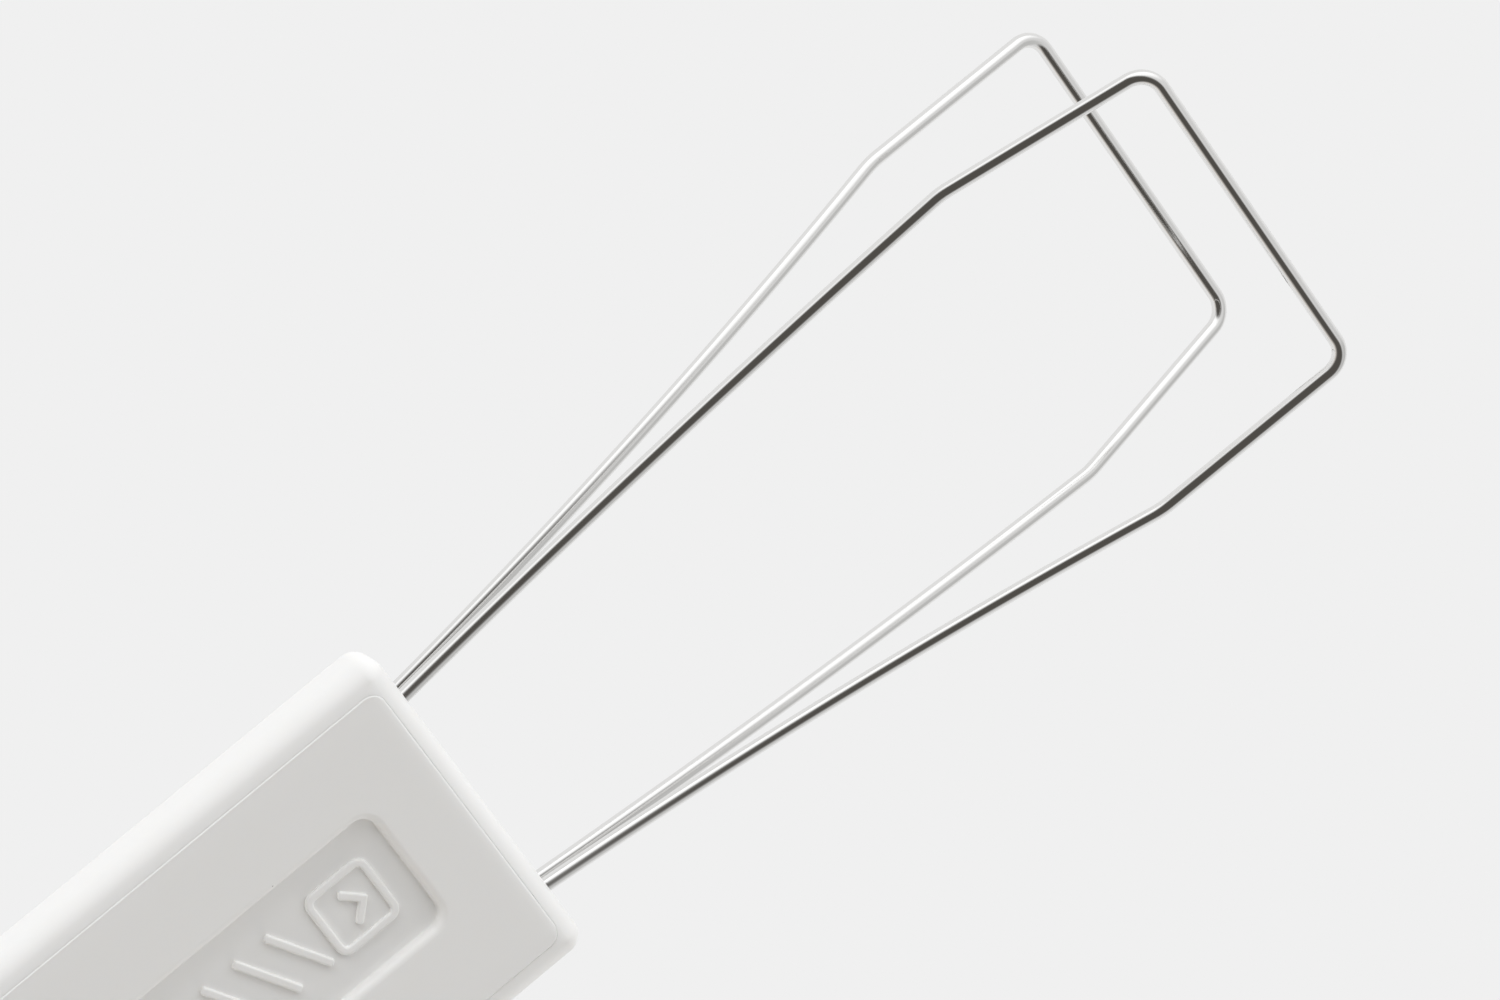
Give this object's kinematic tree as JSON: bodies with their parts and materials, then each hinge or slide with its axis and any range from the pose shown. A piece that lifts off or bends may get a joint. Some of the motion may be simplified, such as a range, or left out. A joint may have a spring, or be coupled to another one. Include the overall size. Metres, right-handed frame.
{
  "type": "wire keycap puller",
  "caption": "Hand tool for lifting keyboard keycaps: sprung bent-wire loops with straight tip bars, held in a flat moulded handle with a set-in face cover.",
  "frame": {"origin": "middle of the handle's flat back face", "axes": "+Y runs along the handle towards the wire tips, +Z points out of the handle's face, X runs across the handle"},
  "size_m": [0.0281, 0.109, 0.0207],
  "materials": {
    "body_plastic": "white moulded plastic, satin",
    "cover_plastic": "white moulded plastic, satin",
    "polished_steel": "polished stainless spring wire"
  },
  "bodies": {
    "handle": {"handle_body": "body_plastic", "face_cover": "cover_plastic", "front_root_left": "polished_steel", "front_root_right": "polished_steel", "back_root_left": "polished_steel", "back_root_right": "polished_steel"},
    "front_wire": {"front_loop": "polished_steel"},
    "back_wire": {"back_loop": "polished_steel"}
  },
  "joints": [
    {"name": "front_wire_flex", "type": "hinge", "parent": "handle", "child": "front_wire", "pos_m": [0, 0.03273, 0.00375], "axis": [1, 0, 0], "range_deg": [-6, 8], "stiffness_Nm_per_rad": 0.67},
    {"name": "back_wire_flex", "type": "hinge", "parent": "handle", "child": "back_wire", "pos_m": [0, 0.03273, 0.00155], "axis": [-1, 0, 0], "range_deg": [-6, 8], "stiffness_Nm_per_rad": 0.67}
  ]
}
